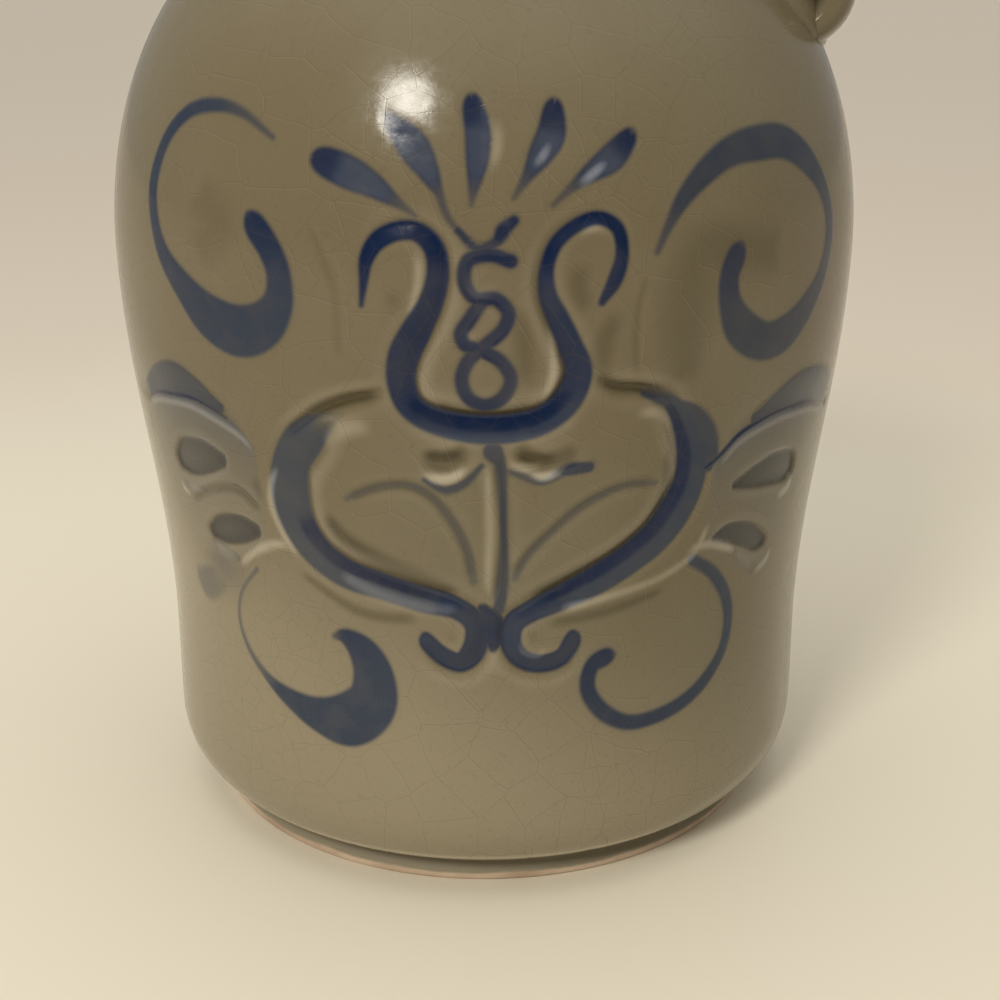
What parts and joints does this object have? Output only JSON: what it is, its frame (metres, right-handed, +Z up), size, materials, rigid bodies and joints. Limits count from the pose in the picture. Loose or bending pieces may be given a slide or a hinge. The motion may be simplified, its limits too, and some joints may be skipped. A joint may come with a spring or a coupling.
{
  "type": "jug vase",
  "caption": "Round-shouldered stoneware jug vase with a strap handle, short lipped neck, bare clay foot ring and a carved tulip and scrolls laid in cobalt slip.",
  "frame": {"origin": "centre of the foot ring on the surface that the jug stands on", "axes": "+Z up along the jug's turning axis, the tulip faces -Y, the handle stands towards +X"},
  "size_m": [0.152, 0.152, 0.2158],
  "materials": {
    "glaze": "glossy olive grey glaze with fine crackle",
    "bare_clay": "matt unglazed clay",
    "cobalt_brushed": "glossy grey-blue brushed slip under the glaze",
    "cobalt_deep": "glossy deep cobalt slip pooled in the carving",
    "cobalt_pale": "glossy pale blue-grey slip thinned over the carving"
  },
  "bodies": {
    "root": {"body_wall": "glaze", "foot_ring": "bare_clay", "neck_and_lip": "glaze", "handle_strap": "glaze", "handle_lower_pad": "glaze", "handle_upper_pad": "glaze", "scroll_upper_left": "cobalt_brushed", "scroll_upper_right": "cobalt_brushed", "scroll_lower_left": "cobalt_brushed", "scroll_lower_right": "cobalt_brushed", "petal_far_left": "cobalt_deep", "petal_left": "cobalt_deep", "petal_middle": "cobalt_deep", "petal_right": "cobalt_deep", "petal_far_right": "cobalt_deep", "stamen_tip": "cobalt_deep", "stamen_twist": "cobalt_deep", "tulip_cup": "cobalt_deep", "heart_left": "cobalt_deep", "heart_right": "cobalt_deep", "stem": "cobalt_pale", "sepal_left": "cobalt_pale", "sepal_right": "cobalt_pale", "leaf_rib_left": "cobalt_brushed", "leaf_rib_right": "cobalt_brushed", "pod_left": "cobalt_pale", "pod_right": "cobalt_pale", "pod_cap_left": "cobalt_brushed", "pod_cap_right": "cobalt_brushed", "pod_tip_left": "cobalt_brushed"}
  },
  "joints": []
}
